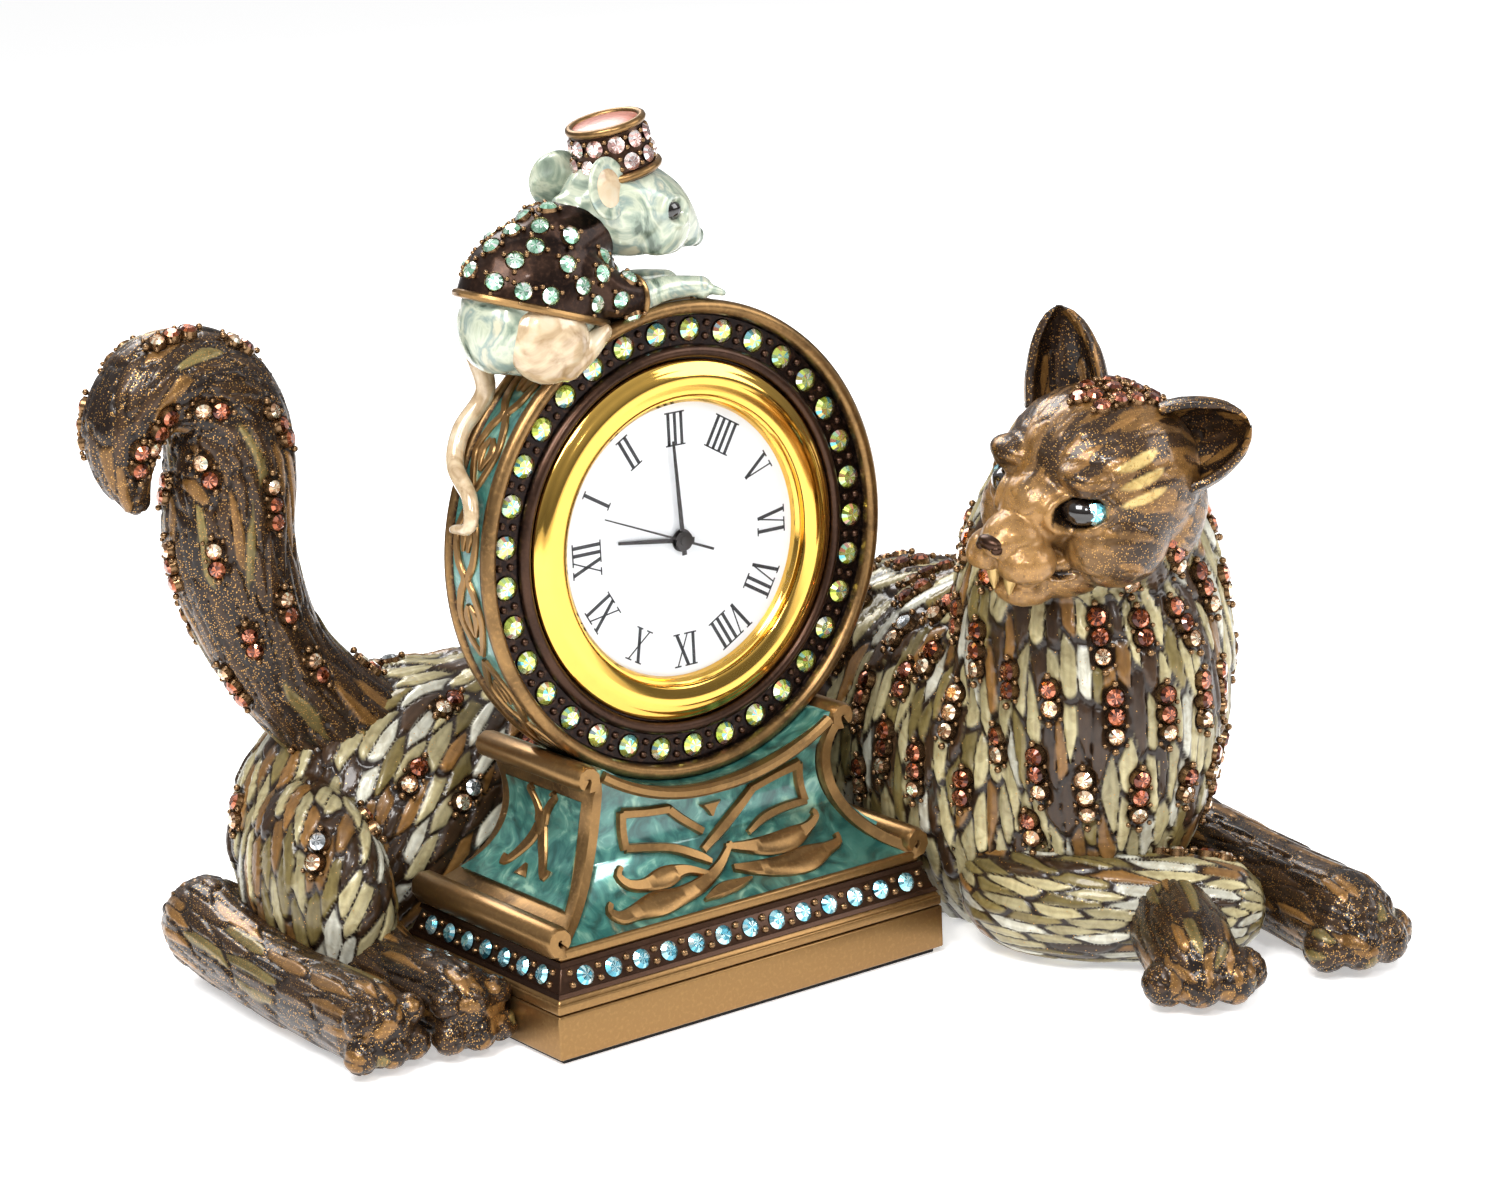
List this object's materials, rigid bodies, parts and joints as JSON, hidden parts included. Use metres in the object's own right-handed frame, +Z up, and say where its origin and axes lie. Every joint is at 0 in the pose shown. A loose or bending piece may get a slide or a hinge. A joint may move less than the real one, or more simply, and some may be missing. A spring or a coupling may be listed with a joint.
{
  "type": "figural desk clock",
  "caption": "Miniature desk clock: a reclining cat curled round a jewelled drum on a flared pedestal, with a mouse on top and a turning fit-up insert.",
  "frame": {"origin": "centre of the plinth's underside, on the surface that the clock stands on", "axes": "+X to the right along the dial's face, -Y out of the dial, +Z up"},
  "size_m": [0.109, 0.0957, 0.0894],
  "materials": {
    "base_felt": "black felt",
    "antique_bronze": "antiqued bronze, brushed on the edges",
    "screw_steel": "plain steel",
    "dark_bronze": "dark antiqued bronze",
    "aqua_crystal": "faceted aqua glass",
    "teal_enamel": "pearly teal enamel in antiqued bronze",
    "rainbow_crystal": "faceted glass with a rainbow coat",
    "grip_rubber": "clear ribbed sleeve",
    "case_plastic": "moulded plastic",
    "polished_gold": "polished gold plate",
    "lens_glass": "clear mineral glass",
    "dial_white": "white lacquer with dark numerals",
    "hand_black": "black lacquer",
    "wheel_brass": "stamped brass",
    "rotor_magnet": "grey magnet",
    "knob_plastic": "black plastic",
    "plate_metal": "stamped plate",
    "copper_wire": "enamelled copper wire",
    "board_green": "green board",
    "mouse_enamel": "swirled pearly cream and grey-green enamel",
    "eye_dark": "glossy dark enamel",
    "mint_crystal": "faceted mint glass",
    "peach_enamel": "peach enamel",
    "pink_crystal": "faceted pink glass",
    "fur_enamel": "cream, olive and brown enamel fur over dark bronze",
    "gold_glitter": "brown enamel with gold glitter",
    "topaz_crystal": "faceted smoked topaz glass",
    "peach_crystal": "faceted light peach glass"
  },
  "bodies": {
    "clock": {"base_felt": "base_felt", "plinth": "antique_bronze", "base_screws": "screw_steel", "jewel_band": "dark_bronze", "aqua_crystals": "aqua_crystal", "pedestal": "teal_enamel", "drum_case": "antique_bronze", "drum_crystals": "rainbow_crystal", "mouse_body": "mouse_enamel", "mouse_head": "mouse_enamel", "mouse_ears": "mouse_enamel", "mouse_arms": "mouse_enamel", "mouse_tail": "mouse_enamel", "mouse_eyes": "eye_dark", "mouse_jacket": "dark_bronze", "jacket_crystals": "mint_crystal", "mouse_hat": "dark_bronze", "hat_top": "peach_enamel", "hat_crystals": "pink_crystal", "cat_haunch": "fur_enamel", "cat_flank": "fur_enamel", "cat_chest": "fur_enamel", "cat_head": "gold_glitter", "cat_ears": "gold_glitter", "cat_tail": "gold_glitter", "cat_hind_feet": "gold_glitter", "cat_far_foreleg": "gold_glitter", "cat_near_foreleg": "gold_glitter", "cat_eyes": "aqua_crystal"},
    "sleeve": {"grip_ring": "grip_rubber"},
    "insert": {"insert_case": "case_plastic", "bezel": "polished_gold", "lens": "lens_glass", "inner_ring": "polished_gold", "dial": "dial_white", "main_plate": "plate_metal", "train_bridge": "plate_metal", "movement_holder": "case_plastic", "coil": "copper_wire", "stator": "plate_metal", "circuit_board": "board_green", "quartz_can": "screw_steel", "battery_contact": "wheel_brass"},
    "seconds": {"second_wheel": "wheel_brass", "second_hand": "hand_black"},
    "minutes": {"centre_wheel": "wheel_brass", "minute_hand": "hand_black"},
    "hours": {"hour_wheel": "wheel_brass", "hour_hand": "hand_black"},
    "motion_work": {"minute_wheel": "wheel_brass", "setting_knob": "knob_plastic"},
    "third": {"third_wheel": "wheel_brass"},
    "step": {"step_wheel": "wheel_brass"},
    "motor": {"rotor": "rotor_magnet"},
    "hatch": {"battery_hatch": "case_plastic"},
    "cell": {"battery": "screw_steel"}
  },
  "joints": [
    {"name": "insert_slide", "type": "slide", "parent": "clock", "child": "sleeve", "axis": [0, -1, 0], "range_m": [0, 0.014]},
    {"name": "insert_turn", "type": "hinge", "parent": "sleeve", "child": "insert", "pos_m": [0, 0, 0.04684], "axis": [0, -1, 0], "continuous": true},
    {"name": "second_turn", "type": "hinge", "parent": "insert", "child": "seconds", "pos_m": [0, 0, 0.04684], "axis": [0, -1, 0], "continuous": true},
    {"name": "minute_turn", "type": "hinge", "parent": "insert", "child": "minutes", "pos_m": [0, 0, 0.04684], "axis": [0, -1, 0], "continuous": true},
    {"name": "hour_turn", "type": "hinge", "parent": "insert", "child": "hours", "pos_m": [0, 0, 0.04684], "axis": [0, -1, 0], "continuous": true},
    {"name": "setting_turn", "type": "hinge", "parent": "insert", "child": "motion_work", "pos_m": [-0.00299, 0, 0.04684], "axis": [0, -1, 0], "continuous": true},
    {"name": "third_turn", "type": "hinge", "parent": "insert", "child": "third", "pos_m": [0.00269, 0, 0.04684], "axis": [0, -1, 0], "continuous": true},
    {"name": "step_turn", "type": "hinge", "parent": "insert", "child": "step", "pos_m": [0, 0, 0.04435], "axis": [0, -1, 0], "continuous": true},
    {"name": "rotor_turn", "type": "hinge", "parent": "insert", "child": "motor", "pos_m": [0, 0, 0.04231], "axis": [0, -1, 0], "continuous": true},
    {"name": "hatch_slide", "type": "slide", "parent": "insert", "child": "hatch", "axis": [0, 1, 0], "range_m": [0, 0.012]},
    {"name": "cell_slide", "type": "slide", "parent": "insert", "child": "cell", "axis": [0, 1, 0], "range_m": [0, 0.0072]}
  ],
  "couplings": [
    {"joint": "minute_turn", "follows": "second_turn", "ratio": 0.016667},
    {"joint": "hour_turn", "follows": "second_turn", "ratio": 0.0013889},
    {"joint": "setting_turn", "follows": "second_turn", "ratio": -0.0055556},
    {"joint": "third_turn", "follows": "second_turn", "ratio": -0.13333},
    {"joint": "step_turn", "follows": "second_turn", "ratio": -6},
    {"joint": "rotor_turn", "follows": "second_turn", "ratio": 30},
    {"joint": "cell_slide", "follows": "hatch_slide", "ratio": 0.6}
  ]
}
